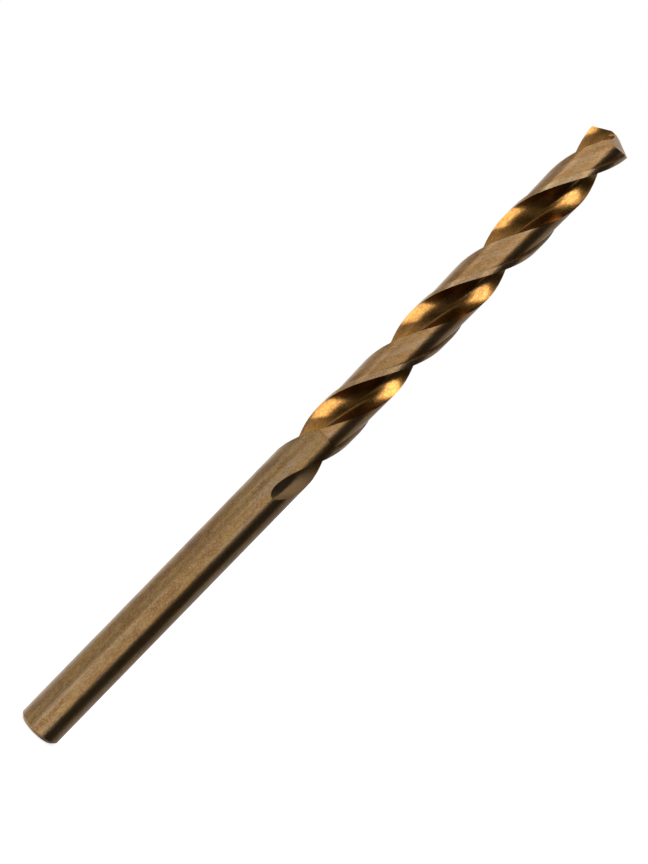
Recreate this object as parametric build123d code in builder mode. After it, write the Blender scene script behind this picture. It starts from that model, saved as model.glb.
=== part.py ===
from build123d import *
from math import acos, asin, atan2, ceil, cos, degrees, radians, sin, sqrt, tan
import os

# A right-hand, two-flute twist drill of the "jobber" length, ground from one bar of high-speed steel.
# Millimetres. The shank's flat end sits on z = 0 and the point is up, on the +Z axis.
# The lips run along X: the first lip's outer corner is on the +X side, the second's on the -X side.

# ---- driving sizes: lengths along the axis
overall_length = 86.5        # flat shank end to the chisel edge
flute_length = 52.2          # point to the end of the flutes' run-out
body_length = 48.0           # point to the neck, where the full diameter begins
clearance_length = 43.8      # point to the step where the narrow margins begin
helix_lead = 27.7            # height of one full turn of a flute
neck_length = 0.6            # cone from the shank's diameter up to the margins' own
shank_chamfer = 0.35

# ---- driving sizes: across the drill
drill_diameter = 5.0         # over the two margins
shank_diameter = 4.91
clearance_diameter = 4.48    # over the lands just behind the margins
heel_diameter = 4.70         # over the lands' heels, where the clearance is shallower
margin_width = 0.66          # measured round the drill
web_at_point = 0.85          # steel left between the flutes at the point
web_at_shank = 1.30          # and where the flutes stop
land_angle = 84.0            # degrees of land at the point; the flute takes the rest of the half turn

# ---- driving sizes: the flute's section and its end
heel_lean = 14.0             # lean of the flute's back wall at the heel, from the radius
root_fullness = 0.20         # how far the root's curve follows each wall, as a share of its span
lift_direction = 60.0        # way in which the grinding wheel lifts, in degrees ahead of the lip's corner
runout_radius = 9.5          # curve on which the wheel leaves the steel

# ---- driving sizes: the point
point_angle = 130.0
relief_angle = 12.0          # lean of each flank's cone, which drops the flank behind its lip
cone_setback = 0.9           # the cone's tip stands this far past the axis, along the lip
split_angle = 35.0           # slope of the split's floor, from the drill's axis
chisel_length = 0.14         # chisel edge left between the two splits
split_setback = 0.04         # the split's wall cuts this far behind the chisel line

# ---- worked out
drill_radius = drill_diameter / 2
shank_radius = shank_diameter / 2
clearance_radius = clearance_diameter / 2
heel_radius = heel_diameter / 2
half_web = web_at_point / 2
half_point = radians(point_angle / 2)
relief = radians(relief_angle)
flute_angle = 180.0 - land_angle
margin_angle = degrees(margin_width / drill_radius)
flute_end_z = overall_length - flute_length
body_start_z = overall_length - body_length
clearance_start_z = overall_length - clearance_length
lip_run = sqrt(drill_radius ** 2 - half_web ** 2)
outside = 2 * drill_radius   # cutters reach out to here, clear of the steel
overrun = 1.0                # and pass this far beyond its ends

# Each flank is part of a cone. Its tip is level with the lip, past the axis, and its axis leans forwards,
# so the surface sinks behind the lip. The leaning cone is a little blunter than the point.
cone_angle = acos(cos(half_point) * cos(relief))
steepness = cos(cone_angle) ** 2
drop_a = cos(relief) ** 2 - steepness
drop_b = half_web * sin(relief) * cos(relief)
drop_c = (half_web * sin(relief)) ** 2 - (cone_setback ** 2 + half_web ** 2) * steepness
cone_drop = (drop_b + sqrt(drop_b ** 2 - drop_a * drop_c)) / drop_a
cone_tip_z = overall_length + cone_drop
corner_z = cone_tip_z - (lip_run + cone_setback) / tan(half_point)

# The two cones meet in the chisel edge, which crosses the axis at this angle to the lips.
axial_reach = cone_drop * cos(relief) - half_web * sin(relief)
chisel_turn = atan2(cone_setback * steepness, axial_reach * sin(relief) + half_web * steepness)

# The web thickens evenly towards the shank, then the wheel lifts out on its curve.
end_lift = (web_at_shank - web_at_point) / 2
runout_rise = drill_radius - half_web - end_lift
runout_length = sqrt(2 * runout_radius * runout_rise - runout_rise ** 2)
runout_start_z = flute_end_z + runout_length


def polar(radius, angle):
    """A point of a cross-section, from its radius and its angle in degrees."""
    return Vector(radius * cos(radians(angle)), radius * sin(radians(angle)))


def cross_plane(z):
    """The plane square to the axis at a height, turned with the flutes."""
    turn = 2 * 180 * (z - corner_z) / helix_lead + degrees(asin(half_web / drill_radius))
    return Plane(origin=(0, 0, z), x_dir=polar(1, turn), z_dir=(0, 0, 1))


def heights(start, end, step=1.0):
    """Evenly spaced heights from start to end, at most a step apart."""
    count = ceil((end - start) / step)
    return [start + (end - start) * i / count for i in range(count + 1)]


def wheel_lift(z):
    """How far the flute's section has moved outwards at a height."""
    taper = end_lift * (corner_z - z) / (corner_z - runout_start_z)
    back = max(0.0, runout_start_z - z)
    return taper + runout_radius - sqrt(runout_radius ** 2 - back ** 2)


def rake_point(radius):
    """A point of the flute's cutting wall, curved so that the ground lip comes out straight."""
    run = sqrt(radius ** 2 - half_web ** 2)
    height = (lip_run - run) / tan(half_point)
    turn = asin(half_web / radius) - asin(half_web / drill_radius)
    return polar(radius, degrees(turn) - 360 * height / helix_lead)


# One flute, as the solid that the wheel sweeps: the cutting wall, the root and the back wall. The wall is
# drawn from outside the steel inwards, at these shares of the drill's radius and then of half the web.
radius_shares = (1.35, 1.0, 0.7, 0.45)
web_shares = (1.4, 1.03)
rake_wall = [rake_point(drill_radius * share) for share in radius_shares]
rake_wall += [rake_point(half_web * share) for share in web_shares]
root = rake_wall[-1]
root_way = (root - rake_wall[-2]).normalized()
heel = polar(heel_radius, flute_angle)
heel_way = polar(1, flute_angle - heel_lean)
root_pull = root_fullness * (heel - root).length
heel_top = heel + heel_way * (rake_wall[0].length - heel_radius)

with BuildPart() as flute:
    for z in heights(flute_end_z - overrun, overall_length + overrun):
        lift = polar(wheel_lift(z), lift_direction)
        with BuildSketch(cross_plane(z)):
            with BuildLine():
                Spline([point + lift for point in rake_wall])
                Bezier(root + lift, root + root_way * root_pull + lift,
                       heel - heel_way * root_pull + lift, heel + lift)
                Polyline(heel + lift, heel_top + lift, polar(outside, flute_angle / 2) + lift,
                         rake_wall[0] + lift)
            make_face()
    loft()

# The land behind a margin is ground down, most of all next to the margin, and the cut runs out past the
# heel. The margin keeps its width, so the cut follows the lip's edge, which the lifting wheel turns a little.
past_heel = 0.3 * land_angle
heel_rise = (heel_radius - clearance_radius) / (land_angle - margin_angle)

with BuildPart() as land_clearance:
    for z in heights(clearance_start_z, overall_length + overrun):
        start = degrees(asin(wheel_lift(z) * sin(radians(lift_direction)) / drill_radius)) - margin_angle
        end = -land_angle - past_heel
        middle = (start + end) / 2
        with BuildSketch(cross_plane(z)):
            with BuildLine():
                ground = ThreePointArc(polar(clearance_radius, start),
                                       polar(clearance_radius + heel_rise * (start - middle), middle),
                                       polar(clearance_radius + heel_rise * (start - end), end))
                Polyline(ground @ 1, polar(outside, end), polar(2 * outside, middle), polar(outside, start),
                         ground @ 0)
            make_face()
    loft()

# What the flank grind takes away: all that stands above the leaning cone.
with BuildPart() as flank_grind:
    with Locations((0, 0, corner_z - overrun)):
        Cylinder(outside, cone_tip_z - corner_z + 2 * overrun, align=(Align.CENTER, Align.CENTER, Align.MIN))
    with Locations(Plane(origin=(-cone_setback, half_web, cone_tip_z), x_dir=(-1, 0, 0),
                         z_dir=(0, -sin(relief), cos(relief)))):
        Cone(4 * outside * tan(cone_angle), 0, 4 * outside, align=(Align.CENTER, Align.CENTER, Align.MAX),
             mode=Mode.SUBTRACT)

# What the split takes away: a wedge with an upright wall along the chisel edge and a sloping floor.
chisel_way = Vector(cos(chisel_turn), sin(chisel_turn))
wall_way = Vector(-sin(chisel_turn), cos(chisel_turn))
floor_run = tan(radians(split_angle))
with BuildPart() as split_grind:
    with BuildSketch(Plane(origin=wall_way * -split_setback, x_dir=-chisel_way, z_dir=wall_way)):
        with BuildLine():
            Polyline((-chisel_length / 2 + overrun * floor_run, overall_length + overrun),
                     (-chisel_length / 2 - outside * floor_run, overall_length - outside),
                     (-chisel_length / 2 - outside * floor_run, overall_length + overrun), close=True)
        make_face()
    extrude(amount=outside)

# The bar is turned first. Its seam is kept off the lips' corners, where every cut would run along it.
seam_turn = 120.0
with BuildPart() as drill_bit:
    with BuildSketch(Plane.XZ.rotated((0, 0, seam_turn))):
        with BuildLine():
            Polyline((0, 0), (shank_radius - shank_chamfer, 0), (shank_radius, shank_chamfer),
                     (shank_radius, body_start_z - neck_length), (drill_radius, body_start_z),
                     (drill_radius, overall_length), (0, overall_length), close=True)
        make_face()
    revolve(axis=Axis.Z)
    for cut in (land_clearance, flute, flank_grind, split_grind):
        for side in (0, 180):
            add(cut.part, rotation=(0, 0, side), mode=Mode.SUBTRACT)

os.makedirs("parts", exist_ok=True)
drill_bit.part.label = "drill_bit"
export_step(drill_bit.part, "parts/drill_bit.step")
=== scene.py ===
# %% [markdown]
# # A twist drill, dressed
#
# A twist drill is one bar of high-speed steel. It is turned, then two flutes are ground along it in a
# spiral, the lands between them are ground back to leave two narrow margins, and the point is ground last.
# This lesson makes the drill the way the workshop does, with one bar and a few grinding cuts, all in a
# Geometry Nodes tree. The steel was tempered after grinding, which left a thin straw-brown oxide on it.

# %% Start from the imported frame
from math import acos, asin, atan2, cos, degrees, pi, radians, sin, sqrt, tan

import bpy
from mathutils import Matrix, Vector


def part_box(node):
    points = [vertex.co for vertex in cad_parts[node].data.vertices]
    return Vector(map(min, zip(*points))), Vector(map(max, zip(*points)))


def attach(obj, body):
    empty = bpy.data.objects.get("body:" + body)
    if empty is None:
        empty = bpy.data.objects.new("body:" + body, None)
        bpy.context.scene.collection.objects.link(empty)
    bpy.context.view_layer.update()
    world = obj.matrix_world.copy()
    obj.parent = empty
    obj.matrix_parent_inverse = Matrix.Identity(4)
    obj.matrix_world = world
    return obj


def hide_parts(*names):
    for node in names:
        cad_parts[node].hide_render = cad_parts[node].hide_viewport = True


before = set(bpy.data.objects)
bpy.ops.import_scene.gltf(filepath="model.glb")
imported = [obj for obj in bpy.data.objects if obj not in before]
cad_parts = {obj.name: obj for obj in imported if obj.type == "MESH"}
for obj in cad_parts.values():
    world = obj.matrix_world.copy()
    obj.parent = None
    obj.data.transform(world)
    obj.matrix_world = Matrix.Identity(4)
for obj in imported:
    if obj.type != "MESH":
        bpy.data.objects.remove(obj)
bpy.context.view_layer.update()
low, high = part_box("drill_bit")
print("frame, in mm:", [round(1000 * (b - a), 2) for a, b in zip(low, high)])

# %% [markdown]
# ## Sizes
#
# Every size below is a real one in millimetres. Only the length and the diameter come from the frame, so
# the dressed drill can't drift away from the solid one. The flutes' own coordinates turn with them: at each
# height the section is the same, only rotated, and it moves outwards a little as the grinding wheel lifts.

# %% The drill's sizes
mm = 0.001
length = high.z
drill_radius = high.x
shank_radius = 2.455 * mm
shank_chamfer = 0.35 * mm
flute_length = 52.2 * mm
clearance_length = 43.8 * mm
neck_length = 0.6 * mm
body_length = 48.0 * mm
lead = 27.7 * mm

clearance_radius = 2.24 * mm
heel_radius = 2.35 * mm
margin_width = 0.66 * mm
half_web = 0.425 * mm
end_lift = 0.225 * mm
runout_radius = 9.5 * mm
land = radians(84.0)
heel_lean = radians(14.0)
lift_way = radians(60.0)
root_fullness = 0.20

half_point = radians(65.0)
relief = radians(12.0)
cone_setback = 0.9 * mm
split_slope = radians(35.0)
chisel_length = 0.14 * mm
split_setback = 0.04 * mm

dull_fade = 1.2 * mm         # half the height over which a flute's polish fades into its dull run-out
past_heel = 0.3              # the clearance cut runs on past the heel by this share of the land
worn_edge = 0.06 * mm        # tiny facets that catch the light on the chamfer's edges
crisp_angle = radians(14)    # borders that turn by more than this stay sharp

flute_span = pi - land
margin_turn = margin_width / drill_radius
lip_run = sqrt(drill_radius ** 2 - half_web ** 2)
flute_end = length - flute_length
body_start = length - body_length
clearance_start = length - clearance_length
outside = 2 * drill_radius
overrun = 1.0 * mm
print("flutes end at", round(flute_end / mm, 1), "mm, margins start at", round(clearance_start / mm, 1), "mm")

# %% [markdown]
# ## The cone behind each lip
#
# Each flank is part of a cone that leans forwards, so the steel sinks away behind the lip. The cone's tip
# is level with the lip and stands past the axis. Its height follows from asking that the cone passes
# through the drill's axis exactly at the drill's full length.

# %% Work out the point
cone_angle = acos(cos(half_point) * cos(relief))
steepness = cos(cone_angle) ** 2
drop_a = cos(relief) ** 2 - steepness
drop_b = half_web * sin(relief) * cos(relief)
drop_c = (half_web * sin(relief)) ** 2 - (cone_setback ** 2 + half_web ** 2) * steepness
cone_drop = (drop_b + sqrt(drop_b ** 2 - drop_a * drop_c)) / drop_a
cone_tip = length + cone_drop
corner = cone_tip - (lip_run + cone_setback) / tan(half_point)
axial_reach = cone_drop * cos(relief) - half_web * sin(relief)
chisel_turn = atan2(cone_setback * steepness, axial_reach * sin(relief) + half_web * steepness)
runout_rise = drill_radius - half_web - end_lift
runout_start = flute_end + sqrt(2 * runout_radius * runout_rise - runout_rise ** 2)
print("lip corners at", round(corner / mm, 3), "mm")
print("chisel edge turned", round(degrees(chisel_turn), 1), "degrees")

# %% [markdown]
# ## Outlines for the tree
#
# The tree needs three outlines: the bar's half profile as a path with a radius at each height, the section
# of one flute, and the section of the land's clearance. They could be drawn by hand, but each follows a
# short rule, so a loop writes their points. The rake wall is curved in just the way that makes the ground
# lip come out straight.


# %% Three outlines as curves
def polar(radius, turn):
    return Vector((radius * cos(turn), radius * sin(turn)))


def rake_point(radius):
    """A point of the flute's cutting wall, seen in the section at the lip's corner."""
    run = sqrt(radius ** 2 - half_web ** 2)
    drop = (lip_run - run) / tan(half_point)
    return polar(radius, asin(half_web / radius) - asin(half_web / drill_radius) - 2 * pi * drop / lead)


def bezier(points, steps):
    """The points of a cubic curve after its first one."""
    a, b, c, d = points
    for i in range(1, steps + 1):
        t = i / steps
        yield a * (1 - t) ** 3 + b * 3 * t * (1 - t) ** 2 + c * 3 * t ** 2 * (1 - t) + d * t ** 3


def outline(name, points, closed=True, radii=None):
    """A curve object through some points, with a radius of its own at each if they are given."""
    curve = bpy.data.curves.new(name, "CURVE")
    curve.dimensions = "3D"
    spline = curve.splines.new("POLY")
    spline.points.add(len(points) - 1)
    for i, point in enumerate(points):
        spline.points[i].co = (*Vector(point).to_3d(), 1)
        spline.points[i].radius = radii[i] if radii else 1
    spline.use_cyclic_u = closed
    return bpy.data.objects.new(name, curve)


def steps_between(start, end, count):
    return [start + (end - start) * i / count for i in range(count + 1)]


# The cutting wall is drawn from outside the steel inwards, almost to the web.
rake_start = 1.35 * drill_radius
rake_end = 1.03 * half_web
rake = [rake_point(r) for r in steps_between(rake_start, rake_end, 42)]
root = rake[-1]
heel = polar(heel_radius, flute_span)
heel_way = polar(1, flute_span - heel_lean)
pull = root_fullness * (heel - root).length
root_way = (root - rake[-2]).normalized()
back = list(bezier([root, root + root_way * pull, heel - heel_way * pull, heel], 50))
flute_points = [polar(outside, flute_span / 2), heel + heel_way * overrun] + back[::-1] + rake[::-1]
flute_section = outline("flute_section", flute_points)

# The land's clearance rises evenly from behind the margin to the heel.
land_end = (1 + past_heel) * land
heel_rise = (heel_radius - clearance_radius) / (land - margin_turn)
ground = [polar(clearance_radius + heel_rise * (turn - margin_turn), -turn)
          for turn in steps_between(margin_turn, land_end, 64)]
middle = -(margin_turn + land_end) / 2
clear_of_steel = [polar(outside, -land_end), polar(2 * outside, middle), polar(outside, -margin_turn)]
land_section = outline("land_section", ground + clear_of_steel)

# The bar's outline is a list of heights, each with its radius. Each edge of the chamfer has a small facet.
end_radius = shank_radius - shank_chamfer
bar_steps = [(0, end_radius - worn_edge),
             (0.3 * worn_edge, end_radius + 0.3 * worn_edge),
             (shank_chamfer - 0.6 * worn_edge, shank_radius - worn_edge),
             (shank_chamfer + 0.6 * worn_edge, shank_radius)]
bar_steps += [(z, shank_radius) for z in steps_between(1 * mm, body_start - neck_length, 60)]
bar_steps += [(z, drill_radius) for z in steps_between(body_start, length + overrun, 90)]
bar_radii = [r for z, r in bar_steps]
bar_path = outline("bar_path", [(0, 0, z) for z, r in bar_steps], closed=False, radii=bar_radii)
print("outlines:", len(flute_points), "points round a flute,", len(bar_steps), "heights along the bar")

# %% [markdown]
# ## A helper and a little arithmetic
#
# One function adds any node, sets it up and joins it to what it reads. The tree's arithmetic is three
# short formulas: how far the section has turned at a height, how far the wheel has lifted there, and how
# much the margin shifts round to keep its width while the wheel lifts.


# %% One way to add a node
def add(tree, kind, inputs=None, **settings):
    """Add a node, with its settings, and give each input a value or a link."""
    node = tree.nodes.new(kind)
    for name, value in settings.items():
        setattr(node, name, value)
    for key, value in (inputs or {}).items():
        socket = node.inputs[key]
        if isinstance(value, bpy.types.NodeSocket):
            tree.links.new(value, socket)
        else:
            socket.default_value = value
    return node


def calc(tree, operation, *values):
    return add(tree, "ShaderNodeMath", dict(enumerate(values)), operation=operation).outputs[0]


# %% The grinding tree's inputs
grind = bpy.data.node_groups.new("grind_twist_drill", "GeometryNodeTree")
grind.interface.new_socket("Geometry", in_out="OUTPUT", socket_type="NodeSocketGeometry")
sockets = {}
for title, kind, value in [
        ("Bar Path", "NodeSocketObject", bar_path), ("Flute Section", "NodeSocketObject", flute_section),
        ("Land Section", "NodeSocketObject", land_section),
        ("Length", "NodeSocketFloat", length), ("Lip Corner", "NodeSocketFloat", corner),
        ("Lead", "NodeSocketFloat", lead), ("Drill Radius", "NodeSocketFloat", drill_radius),
        ("End Lift", "NodeSocketFloat", end_lift), ("Flute End", "NodeSocketFloat", flute_end),
        ("Run-out Start", "NodeSocketFloat", runout_start),
        ("Run-out Radius", "NodeSocketFloat", runout_radius),
        ("Clearance Start", "NodeSocketFloat", clearance_start)]:
    sockets[title] = (grind.interface.new_socket(title, in_out="INPUT", socket_type=kind), value)
given = grind.nodes.new("NodeGroupInput").outputs
print("the tree has", len(sockets), "inputs")

# %% Turn, lift and shift at a height
position = add(grind, "GeometryNodeInputPosition").outputs[0]
height = add(grind, "ShaderNodeSeparateXYZ", {0: position}).outputs["Z"]
above = calc(grind, "SUBTRACT", height, given["Lip Corner"])
whole_turns = calc(grind, "DIVIDE", above, given["Lead"])
turn = calc(grind, "ADD", calc(grind, "MULTIPLY", whole_turns, 2 * pi), asin(half_web / drill_radius))

taper_span = calc(grind, "SUBTRACT", given["Run-out Start"], given["Lip Corner"])
taper = calc(grind, "MULTIPLY", calc(grind, "DIVIDE", above, taper_span), given["End Lift"])
behind = calc(grind, "MAXIMUM", calc(grind, "SUBTRACT", given["Run-out Start"], height), 0)
wheel_leg = calc(grind, "SUBTRACT", calc(grind, "POWER", given["Run-out Radius"], 2),
                 calc(grind, "POWER", behind, 2))
wheel_rise = calc(grind, "SUBTRACT", given["Run-out Radius"], calc(grind, "SQRT", wheel_leg))
lift = calc(grind, "ADD", taper, wheel_rise)
shift = calc(grind, "ARCSINE", calc(grind, "DIVIDE", calc(grind, "MULTIPLY", lift, sin(lift_way)),
                                    given["Drill Radius"]))

# %% [markdown]
# ## Cutters
#
# A cutter is a straight sweep of its section, which is then lifted and turned point by point. The tag
# "grind" stays on its faces, so that after the cut each face of the steel still knows which wheel made it.


# %% A swept and twisted cutter
def tagged(geometry, number):
    """Note on each face which wheel makes it: 0 bar, 1 flute, 2 land, 3 flank, 4 split."""
    return add(grind, "GeometryNodeStoreNamedAttribute",
               {"Geometry": geometry, "Name": "grind", "Value": float(number)},
               data_type="FLOAT", domain="FACE").outputs[0]


def sweep(section, start, rows, number, offset, turning):
    """A section drawn up past the point in some rows, each of them moved and then turned."""
    line = add(grind, "GeometryNodeCurvePrimitiveLine",
               {"Start": add(grind, "ShaderNodeCombineXYZ", {"Z": start}).outputs[0],
                "End": add(grind, "ShaderNodeCombineXYZ",
                           {"Z": calc(grind, "ADD", given["Length"], overrun)}).outputs[0]}).outputs[0]
    path = add(grind, "GeometryNodeResampleCurve", {"Curve": line, "Count": rows}).outputs[0]
    shape = add(grind, "GeometryNodeObjectInfo", {"Object": section}).outputs["Geometry"]
    bar = add(grind, "GeometryNodeCurveToMesh",
              {"Curve": path, "Profile Curve": shape, "Fill Caps": True}).outputs[0]
    moved = add(grind, "GeometryNodeSetPosition", {"Geometry": bar, "Offset": offset}).outputs[0]
    twisted = add(grind, "ShaderNodeVectorRotate", {"Vector": position, "Angle": turning},
                  rotation_type="Z_AXIS").outputs[0]
    return tagged(add(grind, "GeometryNodeSetPosition",
                      {"Geometry": moved, "Position": twisted}).outputs[0], number)


def other_side(geometry):
    return add(grind, "GeometryNodeTransform", {"Geometry": geometry, "Rotation": (0, 0, pi)}).outputs[0]


# The rows are about 0.2 mm apart, so a flute's edge keeps its smooth curve in a close view.
flute_rows = 280
land_rows = 230
lift_offset = add(grind, "ShaderNodeVectorMath",
                  {0: (cos(lift_way), sin(lift_way), 0), "Scale": lift}, operation="SCALE").outputs[0]
flute_start = calc(grind, "SUBTRACT", given["Flute End"], overrun)
flute_cut = sweep(given["Flute Section"], flute_start, flute_rows, 1, lift_offset, turn)
land_turn = calc(grind, "ADD", turn, shift)
land_cut = sweep(given["Land Section"], given["Clearance Start"], land_rows, 2, (0, 0, 0), land_turn)

# %% [markdown]
# ## The bar and the point
#
# The bar is a circle swept up the path, with the path's own radius at each height. The two flanks leave
# only what is inside both leaning cones, and a slanted block notches the web on each side of the chisel
# edge. That notch is the split, and it lets the drill start without wandering.

# %% Bar, flank cones and splits
circle = add(grind, "GeometryNodeCurvePrimitiveCircle", {"Resolution": 200, "Radius": 1.0}).outputs[0]
spine = add(grind, "GeometryNodeObjectInfo", {"Object": given["Bar Path"]}).outputs["Geometry"]
bar_radius = add(grind, "GeometryNodeInputRadius").outputs[0]
bar = add(grind, "GeometryNodeCurveToMesh",
          {"Curve": spine, "Profile Curve": circle, "Scale": bar_radius, "Fill Caps": True}).outputs[0]
steel = tagged(bar, 0)

cone_depth = 4 * outside
cone = add(grind, "GeometryNodeMeshCone",
           {"Vertices": 360, "Side Segments": 80, "Fill Segments": 1, "Radius Top": 0.0,
            "Radius Bottom": cone_depth * tan(cone_angle), "Depth": cone_depth}).outputs["Mesh"]
tip_at_origin = add(grind, "GeometryNodeTransform",
                    {"Geometry": cone, "Translation": (0, 0, -cone_depth)}).outputs[0]
leaning = add(grind, "GeometryNodeTransform",
              {"Geometry": tip_at_origin, "Translation": (-cone_setback, half_web, cone_tip),
               "Rotation": (relief, 0, 0)}).outputs[0]
wheel_depth = cone_tip - corner + 2 * overrun
round_stock = add(grind, "GeometryNodeMeshCylinder",
                  {"Vertices": 64, "Radius": outside, "Depth": wheel_depth}).outputs["Mesh"]
stock = add(grind, "GeometryNodeTransform",
            {"Geometry": round_stock, "Translation": (0, 0, corner - overrun + wheel_depth / 2)}).outputs[0]

block_size = 2 * outside
block = add(grind, "GeometryNodeMeshCube", {"Size": (block_size, block_size, block_size)}).outputs["Mesh"]
beside_chisel = (block_size / 2, block_size / 2 - split_setback, 0)
block_out = add(grind, "GeometryNodeTransform", {"Geometry": block, "Translation": beside_chisel}).outputs[0]
chisel_end = polar(chisel_length / 2, chisel_turn)
split = tagged(add(grind, "GeometryNodeTransform",
                   {"Geometry": block_out, "Translation": (*chisel_end, length),
                    "Rotation": (0, -split_slope, chisel_turn)}).outputs[0], 4)


# %% Cut the steel
def cut(geometry, tool):
    return add(grind, "GeometryNodeMeshBoolean", {"Mesh 1": geometry, "Mesh 2": tool},
               operation="DIFFERENCE", solver="MANIFOLD").outputs["Mesh"]


flank = tagged(cut(stock, leaning), 3)
for tool in (land_cut, flute_cut, flank, split):
    steel = cut(cut(steel, tool), other_side(tool))

# %% [markdown]
# ## Finishing the mesh
#
# Ground surfaces are smooth and their borders are crisp, so edges sharper than a set angle are kept sharp.
# The point's place before it was twisted is kept in the attribute "uncoiled". In it a flute is a straight
# channel, and a material can lay its grinding lines along it. A second attribute, "run_out", rises from 0
# to 1 where the wheel leaves the steel, because that last curve of a flute isn't polished.

# %% Smooth faces, crisp edges, uncoiled places
smooth = add(grind, "GeometryNodeSetShadeSmooth", {"Geometry": steel, "Shade Smooth": True},
             domain="FACE").outputs[0]
bend = add(grind, "GeometryNodeInputMeshEdgeAngle").outputs["Unsigned Angle"]
crisp = add(grind, "FunctionNodeCompare", {0: bend, 1: crisp_angle}, operation="GREATER_THAN").outputs[0]
creased = add(grind, "GeometryNodeSetShadeSmooth",
              {"Geometry": smooth, "Selection": crisp, "Shade Smooth": False}, domain="EDGE").outputs[0]
turn_back = calc(grind, "MULTIPLY", turn, -1)
straight = add(grind, "ShaderNodeVectorRotate", {"Vector": position, "Angle": turn_back},
               rotation_type="Z_AXIS").outputs[0]
unwound = add(grind, "GeometryNodeStoreNamedAttribute",
              {"Geometry": creased, "Name": "uncoiled", "Value": straight},
              data_type="FLOAT_VECTOR", domain="POINT").outputs[0]
below_start = calc(grind, "SUBTRACT", given["Run-out Start"], height)
leaving = add(grind, "ShaderNodeMapRange",
              {"Value": below_start, "From Min": -dull_fade, "From Max": dull_fade},
              interpolation_type="SMOOTHSTEP").outputs[0]
marked = add(grind, "GeometryNodeStoreNamedAttribute",
             {"Geometry": unwound, "Name": "run_out", "Value": leaving},
             data_type="FLOAT", domain="POINT").outputs[0]

# %% [markdown]
# ## Temper-coloured steel
#
# Bare steel that is heated in air turns straw, then bronze, then brown, as its oxide film thickens. It is
# still a metal under that film, so metallic stays at 1 and the film's hue goes into the base colour. What
# tells one ground face from the next is its roughness and the way its grinding lines run.

# %% Colours and a material helper
def hex_colour(code):
    """An sRGB colour code as the linear colour that the render works in."""
    parts = [int(code[i:i + 2], 16) / 255 for i in (1, 3, 5)]
    return (*[p / 12.92 if p <= 0.04045 else ((p + 0.055) / 1.055) ** 2.4 for p in parts], 1)


def blend_colours(tree, factor, first, second):
    node = add(tree, "ShaderNodeMix", {"Factor": factor}, data_type="RGBA")
    for socket, value in ((node.inputs[6], first), (node.inputs[7], second)):
        if isinstance(value, bpy.types.NodeSocket):
            tree.links.new(value, socket)
        else:
            socket.default_value = value
    return node.outputs[2]


def ground_steel(name, base, stain, dust, rough, brushed, line_scale, line_depth, coordinate, scale=None):
    """Temper-coloured steel. Blotches and grinding lines vary its colour, its roughness and its surface."""
    material = bpy.data.materials.new(name)
    material.use_nodes = True
    tree = material.node_tree
    tree.nodes.clear()
    if coordinate == "object":
        place = add(tree, "ShaderNodeTexCoord").outputs["Object"]
    else:
        place = add(tree, "ShaderNodeAttribute", attribute_name=coordinate).outputs["Vector"]

    def noise(size, stretch, detail, roughness):
        vector = add(tree, "ShaderNodeMapping", {"Vector": place, "Scale": stretch}).outputs[0]
        return add(tree, "ShaderNodeTexNoise", {"Vector": vector, "Scale": 1 / size, "Detail": detail,
                                                "Roughness": roughness}).outputs["Fac"]

    def spread(value, low, high, start, end):
        return add(tree, "ShaderNodeMapRange", {"Value": value, "From Min": low, "From Max": high,
                                                "To Min": start, "To Max": end}).outputs[0]

    # From large to small: uneven oxide, streaks along the bar, a speckle and the grinding lines.
    blotch = noise(1.6 * mm, (1, 1, 0.6), 4.0, 0.6)
    streak = noise(0.7 * mm, (1, 1, 0.06), 3.0, 0.6)
    grain = noise(0.13 * mm, (1, 1, 0.5), 2.0, 0.6)
    lines = noise(1.0 * mm, line_scale, 4.0, 0.7)
    # Thicker oxide stains the steel darker. The streaks and half of the speckle are paler and greyer.
    colour = blend_colours(tree, spread(blotch, 0.40, 0.66, 0, 0.8), hex_colour(base), hex_colour(stain))
    colour = blend_colours(tree, spread(streak, 0.48, 0.66, 0, 0.55), colour, hex_colour(dust))
    colour = blend_colours(tree, spread(grain, 0.50, 0.72, 0, 0.8), colour, hex_colour(dust))
    colour = blend_colours(tree, spread(grain, 0.50, 0.28, 0, 0.7), colour, hex_colour(stain))
    line_roughness = spread(lines, 0, 1, rough - 0.07, rough + 0.07)
    roughness = calc(tree, "ADD", line_roughness, spread(blotch, 0, 1, -0.1, 0.1))
    bump = add(tree, "ShaderNodeBump",
               {"Strength": line_depth, "Distance": 0.01 * mm, "Height": lines}).outputs[0]
    # A quarter turn of the brushing's own direction draws each highlight out along the drill's axis.
    # Scale left by the wheel covers most of the run-out and roughens it.
    if scale:
        dull = add(tree, "ShaderNodeAttribute", attribute_name="run_out").outputs["Fac"]
        colour = blend_colours(tree, calc(tree, "MULTIPLY", dull, 0.85), colour, hex_colour(scale))
        roughness = calc(tree, "ADD", roughness, calc(tree, "MULTIPLY", dull, 0.24))
    round_way = add(tree, "ShaderNodeTangent", direction_type="RADIAL", axis="Z").outputs[0]
    skin = add(tree, "ShaderNodeBsdfPrincipled",
               {"Base Color": colour, "Metallic": 1.0, "Roughness": roughness, "Normal": bump,
                "Anisotropic": brushed, "Anisotropic Rotation": 0.25, "Tangent": round_way}).outputs[0]
    add(tree, "ShaderNodeOutputMaterial", {"Surface": skin})
    return material


# %% [markdown]
# ## Six finishes
#
# Each finish has a base colour, a darker stain, a paler dust, a roughness, a share of brushing, and the
# stretch and depth of its grinding lines. A finish whose lines run round the bar reads the object's own
# coordinates, and one whose lines run along the spiral reads the uncoiled ones.

# %% Finishes of the six kinds of surface
# Ground round and round between two wheels: a dull sheen in long bands down the shank.
shank_finish = ground_steel("centreless_ground_steel", "#7b6039", "#5e4229", "#817059", 0.38, 0.9,
                            (0.6, 0.6, 14), 0.35, "object")
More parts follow.
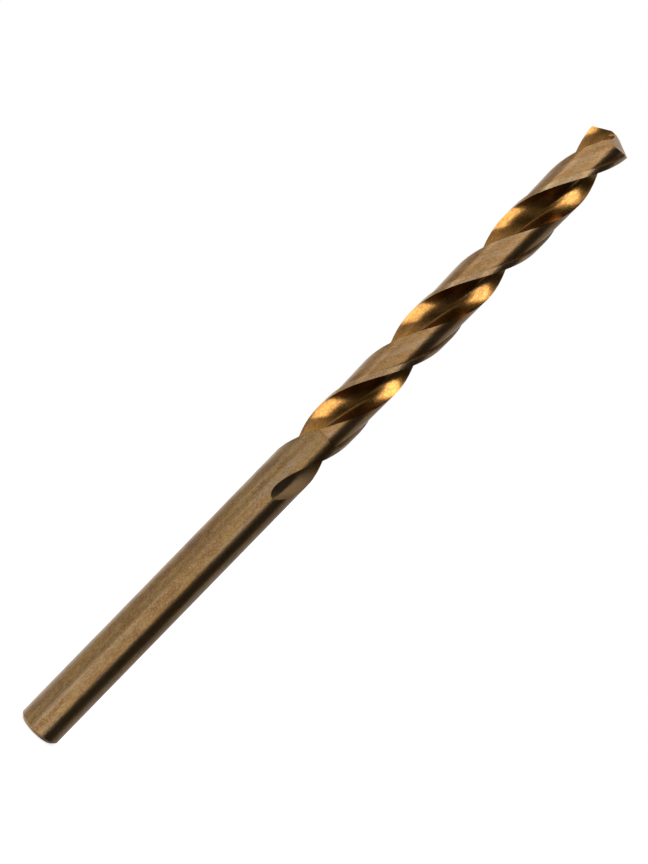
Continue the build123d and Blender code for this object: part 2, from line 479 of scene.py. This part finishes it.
# Polished so that chips slide out: deep gold where a light shows in it, nearly black beside it. The run-out
# is left dull and grey-brown.
flute_finish = ground_steel("polished_flute_steel", "#845d2c", "#5c4025", "#8f6b3b", 0.22, 0.0,
                            (9, 9, 0.5), 0.3, "uncoiled", scale="#3a3126")
# Ground along the spiral: the shank's sheen, a little paler, with slanting lines.
land_finish = ground_steel("ground_land_steel", "#886940", "#6c4b2e", "#8a775f", 0.38, 0.9,
                           (9, 9, 0.5), 0.35, "uncoiled")
# Rubbed bright by the hole's wall: the margin shows as a pale strip along each flute's edge.
margin_finish = ground_steel("burnished_margin_steel", "#937755", "#765a3b", "#9a876b", 0.34, 0.9,
                             (0.6, 0.6, 14), 0.3, "object")
# Sharpened last: the freshest and palest steel, with fine lines across each flank.
point_finish = ground_steel("point_ground_steel", "#8f6c40", "#70522e", "#a07e52", 0.34, 0.0,
                            (14, 2, 2), 0.35, "object")
# The low wall behind a margin: rough steel whose dark base colour is painted shade for the wheel's corner
# there.
painted_shade_step_finish = ground_steel("step_wall_painted_shade_steel", "#453a2d", "#352b20", "#54493b", 0.5, 0.0,
                           (9, 9, 0.5), 0.35, "uncoiled")
finishes = (shank_finish, flute_finish, land_finish, margin_finish, point_finish, painted_shade_step_finish)
print("finishes:", [finish.name for finish in finishes])

# %% [markdown]
# ## Which face gets which finish
#
# The tag says which wheel made a face. The land's wheel makes two kinds of face, the broad land and the low
# wall behind the margin. The wall is told by its direction: it faces round the drill, not outwards or up.

# %% Give each ground face its finish, then close the tree
wall_facing_out = 0.5        # a wall's direction has less than this of the way outwards
wall_facing_up = 0.8         # and less than this of the way up or down
tag = add(grind, "GeometryNodeInputNamedAttribute", {"Name": "grind"}, data_type="FLOAT").outputs["Attribute"]
whole = add(grind, "GeometryNodeRealizeInstances", {"Geometry": marked}).outputs[0]
dressed = add(grind, "GeometryNodeSetMaterial", {"Geometry": whole, "Material": shank_finish}).outputs[0]
# The bar's own faces past the clearance step are the margins.
past_step = add(grind, "FunctionNodeCompare", {0: height, 1: given["Clearance Start"]},
                operation="GREATER_THAN").outputs[0]
dressed = add(grind, "GeometryNodeSetMaterial",
              {"Geometry": dressed, "Selection": past_step, "Material": margin_finish}).outputs[0]
for number, finish in [(1, flute_finish), (2, land_finish), (3, point_finish), (4, point_finish)]:
    chosen = add(grind, "FunctionNodeCompare", {0: tag, 1: float(number), "Epsilon": 0.1},
                 operation="EQUAL").outputs[0]
    dressed = add(grind, "GeometryNodeSetMaterial",
                  {"Geometry": dressed, "Selection": chosen, "Material": finish}).outputs[0]
normal = add(grind, "GeometryNodeInputNormal").outputs[0]
level_place = add(grind, "ShaderNodeVectorMath", {0: position, 1: (1, 1, 0)}, operation="MULTIPLY").outputs[0]
outwards = add(grind, "ShaderNodeVectorMath", {0: level_place}, operation="NORMALIZE").outputs[0]
facing_out = add(grind, "ShaderNodeVectorMath", {0: normal, 1: outwards},
                 operation="DOT_PRODUCT").outputs["Value"]
land_face = add(grind, "FunctionNodeCompare", {0: tag, 1: 2.0, "Epsilon": 0.1}, operation="EQUAL").outputs[0]
steep_face = add(grind, "FunctionNodeCompare", {0: facing_out, 1: wall_facing_out},
                 operation="LESS_THAN").outputs[0]
facing_up = calc(grind, "ABSOLUTE", add(grind, "ShaderNodeSeparateXYZ", {0: normal}).outputs["Z"])
side_face = add(grind, "FunctionNodeCompare", {0: facing_up, 1: wall_facing_up},
                operation="LESS_THAN").outputs[0]
steep_side = add(grind, "FunctionNodeBooleanMath", {0: steep_face, 1: side_face}, operation="AND").outputs[0]
step_face = add(grind, "FunctionNodeBooleanMath", {0: land_face, 1: steep_side}, operation="AND").outputs[0]
# The walls behind the margins take the dark finish, whose colour is painted shade for that corner.
dressed = add(grind, "GeometryNodeSetMaterial",
              {"Geometry": dressed, "Selection": step_face, "Material": painted_shade_step_finish}).outputs[0]
add(grind, "NodeGroupOutput", {0: dressed})

# %% [markdown]
# ## From tree to mesh
#
# The tree runs once, as a modifier on an empty mesh. Its result is copied to a plain mesh, and the modifier
# goes, so that what is handed on has no tree behind it.

# %% Run the tree and keep its mesh
blank = bpy.data.objects.new("blank", bpy.data.meshes.new("blank"))
bpy.context.scene.collection.objects.link(blank)
grinder = blank.modifiers.new("grind", "NODES")
grinder.node_group = grind
for socket, value in sockets.values():
    grinder[socket.identifier] = value
bpy.context.view_layer.update()
evaluated = blank.evaluated_get(bpy.context.evaluated_depsgraph_get())
mesh = bpy.data.meshes.new_from_object(evaluated)
mesh.name = "twist_drill"
mesh.materials.pop(index=0)
drill = bpy.data.objects.new("twist_drill", mesh)
bpy.context.scene.collection.objects.link(drill)
bpy.data.objects.remove(blank)
print("twist drill:", len(mesh.vertices), "points,", len(mesh.polygons), "faces")
print("materials:", [m.name for m in mesh.materials])

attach(drill, "root")
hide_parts("drill_bit")

# %% [markdown]
# ## Camera
#
# A long, slim part is best seen square on from its side. The camera looks level at the drill's axis and is
# rolled, so that the drill runs corner to corner in the frame with its point up on the right.

# %% Camera
azimuth = radians(-72.5)
distance = 155 * mm
eye_height = 43.03 * mm
sideways = -0.222 * mm
roll = radians(45.756)
lens = 61.9
towards = Vector((cos(azimuth), sin(azimuth), 0))
across = Vector((-sin(azimuth), cos(azimuth), 0))
upright = Vector((0, 0, 1))

camera = bpy.data.objects.new("camera", bpy.data.cameras.new("camera"))
bpy.context.scene.collection.objects.link(camera)
bpy.context.scene.camera = camera
camera.location = towards * distance + across * sideways + upright * eye_height
camera.data.lens = lens
camera.data.clip_start = 10 * mm
image_right = upright * cos(roll) + across * sin(roll)
image_up = upright * sin(roll) - across * cos(roll)
camera.rotation_euler = Matrix((image_right, image_up, towards)).transposed().to_euler()
print("camera at", [round(c / mm, 1) for c in camera.location], "mm")

# %% [markdown]
# ## Light
#
# Polished steel has no look of its own: it shows the room. So the room is what gets designed. Two soft
# boxes stand off the drill's two ends and put two gold glints in each turn of the flutes. They are small
# and show in the metal only, so every other surface keeps the room's plain light.

# %% Soft boxes off the drill's ends
middle_of_drill = Vector((0, 0, length / 2))


def studio_way(around, along):
    """A direction from the drill: around its axis from the camera's side, and along it towards the point."""
    level = towards * cos(around) + across * sin(around)
    return level * cos(along) + upright * sin(along)


def soft_box(name, around, along, width, height, glow, far=0.5):
    """A soft box seen from the drill under a width and height in degrees, with a brightness of its own."""
    lamp = bpy.data.lights.new(name, "AREA")
    lamp.shape = "RECTANGLE"
    lamp.size = 2 * far * tan(radians(width) / 2)
    lamp.size_y = 2 * far * tan(radians(height) / 2)
    lamp.energy = glow * pi * lamp.size * lamp.size_y
    box = bpy.data.objects.new(name, lamp)
    bpy.context.scene.collection.objects.link(box)
    way = studio_way(radians(around), radians(along))
    box.location = middle_of_drill + way * far
    box.rotation_euler = way.to_track_quat("Z", "Y").to_euler()
    box.visible_camera = False
    box.visible_diffuse = False
    return box


soft_box("soft_box_point_end", -20, 51, 94, 27, 8.4)
soft_box("soft_box_shank_end", 3, -44, 62, 32, 5.6)
print("two soft boxes, each half a metre off")

# %% [markdown]
# ## The room around the drill
#
# The rest of the light is the room itself, and it is written as a level for each angle round the drill. It
# is a plain white on the open side and falls off towards the camera. The other side is nearly dark, which
# draws the dark stripe down the shank, with a grey wall further round that lights the rim beside it. The
# backdrop behind the drill is white, for the camera and in the metal.

# %% The room as a world
world = bpy.data.worlds.new("studio")
bpy.context.scene.world = world
world.use_nodes = True
tree = world.node_tree
tree.nodes.clear()
way = add(tree, "ShaderNodeTexCoord").outputs["Generated"]
ahead = add(tree, "ShaderNodeVectorMath", {0: way, 1: towards}, operation="DOT_PRODUCT").outputs["Value"]
aside = add(tree, "ShaderNodeVectorMath", {0: way, 1: across}, operation="DOT_PRODUCT").outputs["Value"]
around = calc(tree, "ARCTAN2", aside, ahead)


def between(tree, value, start, end, low, high):
    """A smooth change from one level to another between two angles in degrees."""
    return add(tree, "ShaderNodeMapRange",
               {"Value": value, "From Min": radians(start), "From Max": radians(end),
                "To Min": low, "To Max": high}, interpolation_type="SMOOTHSTEP").outputs[0]


# The open side and the front, brighter near the table than under the ceiling.
upward = add(tree, "ShaderNodeSeparateXYZ", {0: way}).outputs["Z"]
open_side = between(tree, around, -140, -100, 1.3, 0.95)
shaded = between(tree, around, -84, -10, 1, 0.06)
table_glow = add(tree, "ShaderNodeMapRange",
                 {"Value": upward, "From Min": -0.45, "From Max": 0.3,
                  "To Min": 1.5, "To Max": 0.8}).outputs[0]
front = calc(tree, "MULTIPLY", calc(tree, "MULTIPLY", open_side, shaded), table_glow)

# The dark side: a faint strip near the camera, then almost nothing, then the grey wall.
strip = calc(tree, "MULTIPLY", between(tree, around, 0, 14, 0, 0.14), between(tree, around, 32, 56, 1, 0))
side = calc(tree, "ADD", strip, between(tree, around, 97, 109, 0, 0.58))
ceiling = add(tree, "ShaderNodeMapRange",
              {"Value": upward, "From Min": 0.82, "From Max": 0.92, "To Max": 0.6}).outputs[0]
level = calc(tree, "ADD", calc(tree, "ADD", front, side), ceiling)

# The white backdrop: all that the camera sees, and in the metal the part straight behind the drill.
shone = add(tree, "ShaderNodeBackground", {"Color": hex_colour("#ffffff"), "Strength": level}).outputs[0]
white = add(tree, "ShaderNodeBackground", {"Color": hex_colour("#ffffff"), "Strength": 1.0}).outputs[0]
ray = add(tree, "ShaderNodeLightPath").outputs
mirrored = calc(tree, "MAXIMUM", ray["Is Glossy Ray"], ray["Is Transmission Ray"])
backdrop = between(tree, calc(tree, "ABSOLUTE", around), 160, 172, 0, 1)
seen = calc(tree, "MAXIMUM", ray["Is Camera Ray"], calc(tree, "MULTIPLY", mirrored, backdrop))
mixed = add(tree, "ShaderNodeMixShader", {0: seen, 1: shone, 2: white}).outputs[0]
add(tree, "ShaderNodeOutputWorld", {"Surface": mixed})
print("the room is written as", len(tree.nodes), "nodes")

# %% [markdown]
# ## Floor
#
# The drill stands on a white sheet. The sheet glows a little to the camera, so that it reads as white up to
# the backdrop, and the rest of its brightness is real light, which the drill's soft shadow takes away. In
# the metal the room's own lower half stands for it, so that the soft box off the shank's end still shows.

# %% A white sheet
bpy.ops.mesh.primitive_plane_add(size=3.0, location=(0, 0, 0))
floor = bpy.context.object
floor.name = "floor"
floor.visible_glossy = False
floor.visible_shadow = False
sheet = bpy.data.materials.new("white_paper_sheet")
sheet.use_nodes = True
tree = sheet.node_tree
tree.nodes.clear()
seen = add(tree, "ShaderNodeLightPath").outputs["Is Camera Ray"]
paper = add(tree, "ShaderNodeBsdfDiffuse", {"Color": hex_colour("#e4e4e4")}).outputs[0]
glow = add(tree, "ShaderNodeEmission",
           {"Color": hex_colour("#ffffff"), "Strength": calc(tree, "MULTIPLY", seen, 0.75)}).outputs[0]
lit_paper = add(tree, "ShaderNodeAddShader", {0: paper, 1: glow}).outputs[0]
add(tree, "ShaderNodeOutputMaterial", {"Surface": lit_paper})
floor.data.materials.append(sheet)
print("a white sheet", round(floor.dimensions.x, 1), "m across")

# %% Finish
bpy.context.scene.view_settings.view_transform = "Standard"
